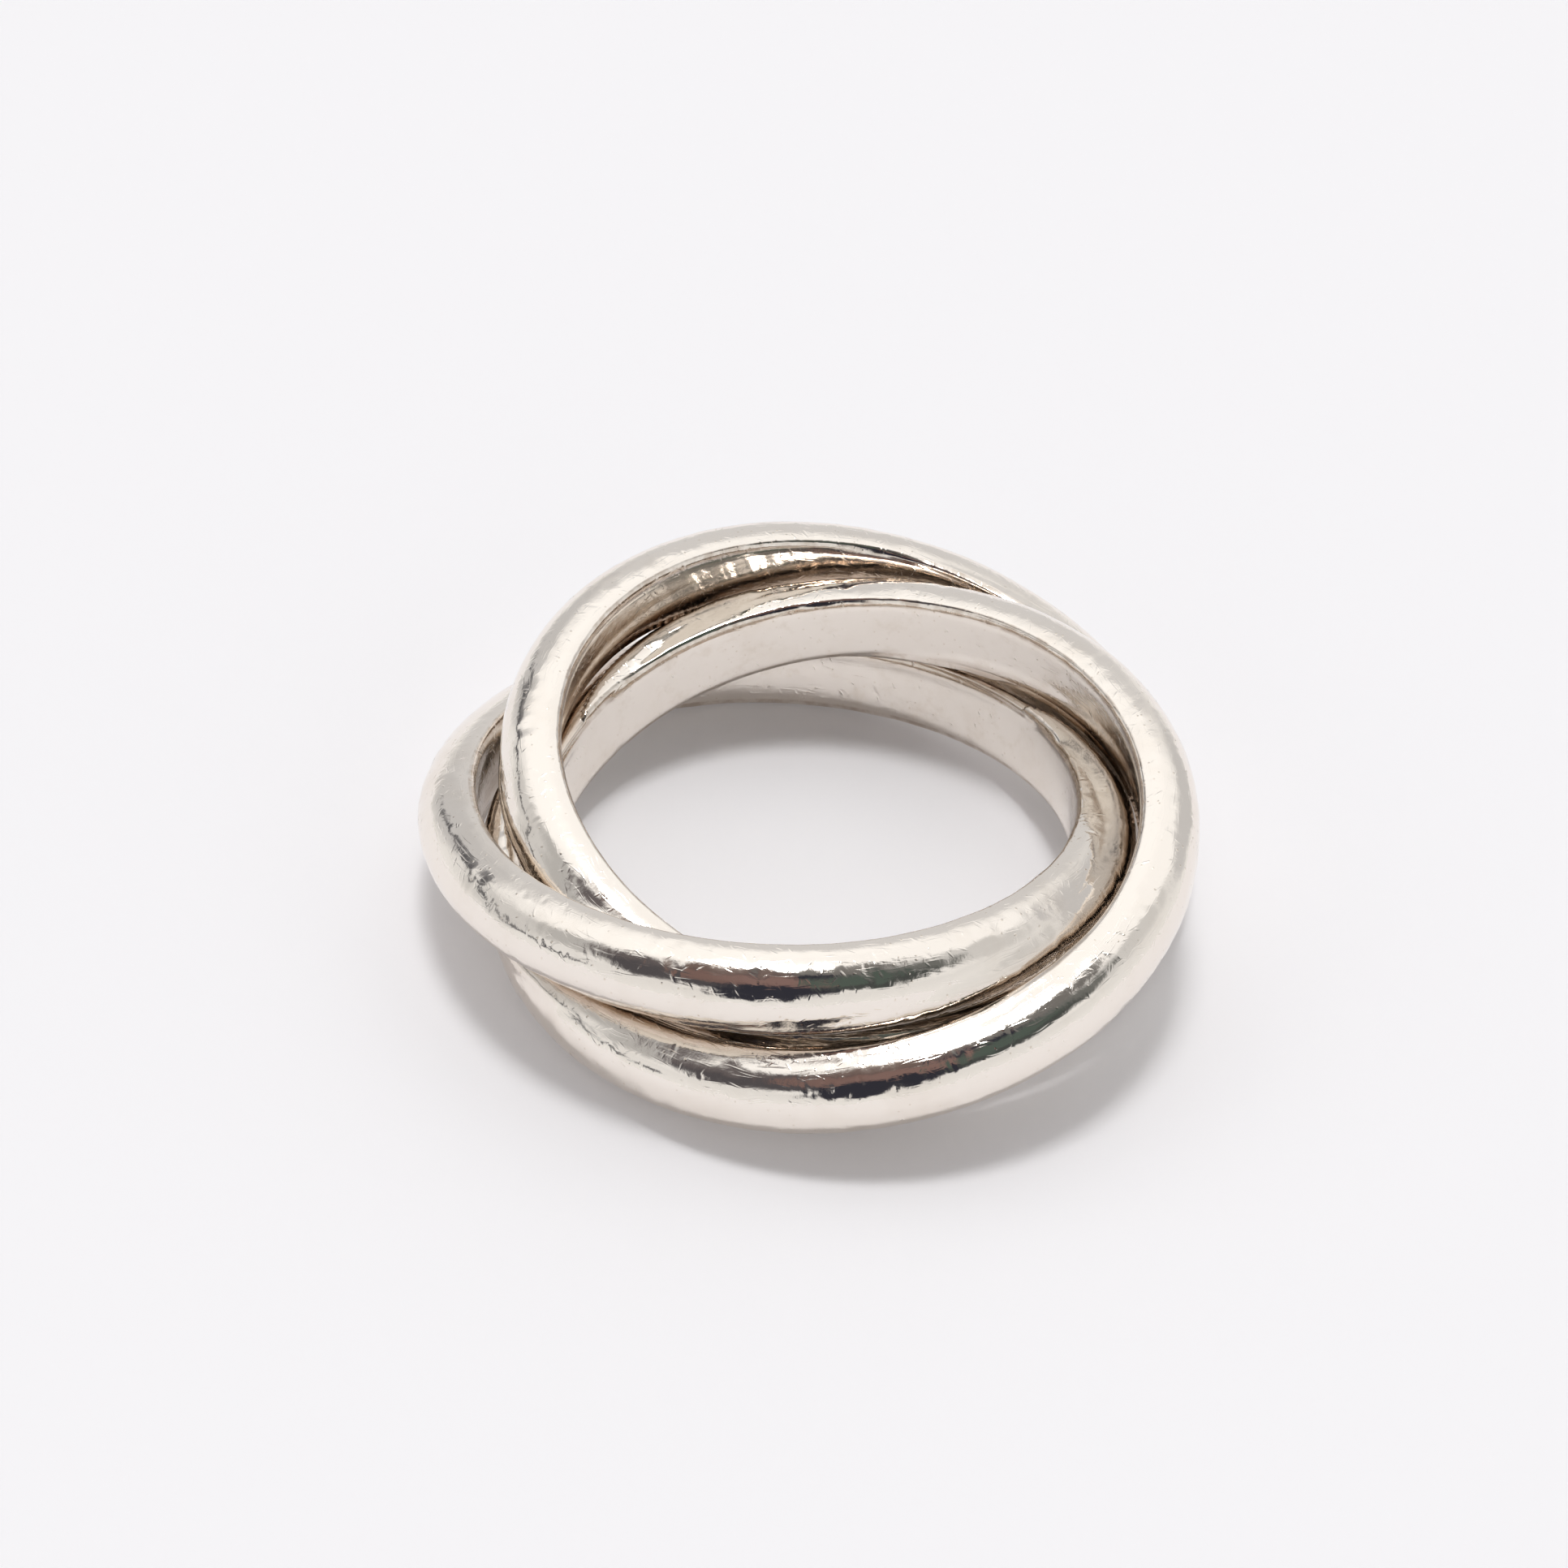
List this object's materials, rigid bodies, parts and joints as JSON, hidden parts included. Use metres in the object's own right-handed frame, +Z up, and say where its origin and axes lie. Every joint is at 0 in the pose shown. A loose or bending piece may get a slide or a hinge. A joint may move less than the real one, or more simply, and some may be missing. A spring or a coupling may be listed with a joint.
{
  "type": "linked rolling ring set",
  "caption": "Interlinked silver finger-ring bands with a flat inner wall and a domed outer face, each passing through the others, lying in a loose bundle.",
  "frame": {"origin": "centre of the bundle's footprint, on the surface it lies on", "axes": "+Z up out of the surface and through the finger hole; -Y towards the viewer, where the front band is lowest; +X to the viewer's right"},
  "size_m": [0.0256, 0.0258, 0.007],
  "materials": {
    "left_band_silver": "polished sterling silver, worn with fine scratches and small dents",
    "rear_band_silver": "polished sterling silver, worn with fine scratches and small dents",
    "front_band_silver": "polished sterling silver, worn with fine scratches and small dents"
  },
  "bodies": {
    "left_band": {"left_band": "left_band_silver"},
    "rear_band": {"rear_band": "rear_band_silver"},
    "front_band": {"front_band": "front_band_silver"}
  },
  "joints": [
    {"name": "rear_band_swing", "type": "hinge", "parent": "left_band", "child": "rear_band", "pos_m": [0.0089, -0.00569, 0.00103], "axis": [0.734, 0.4225, -0.5317], "range_deg": [0, 60]},
    {"name": "front_band_swing", "type": "hinge", "parent": "left_band", "child": "front_band", "pos_m": [-0.00733, -0.00647, 0.00181], "axis": [0.1699, -0.8264, -0.5368], "range_deg": [0, 45]}
  ]
}
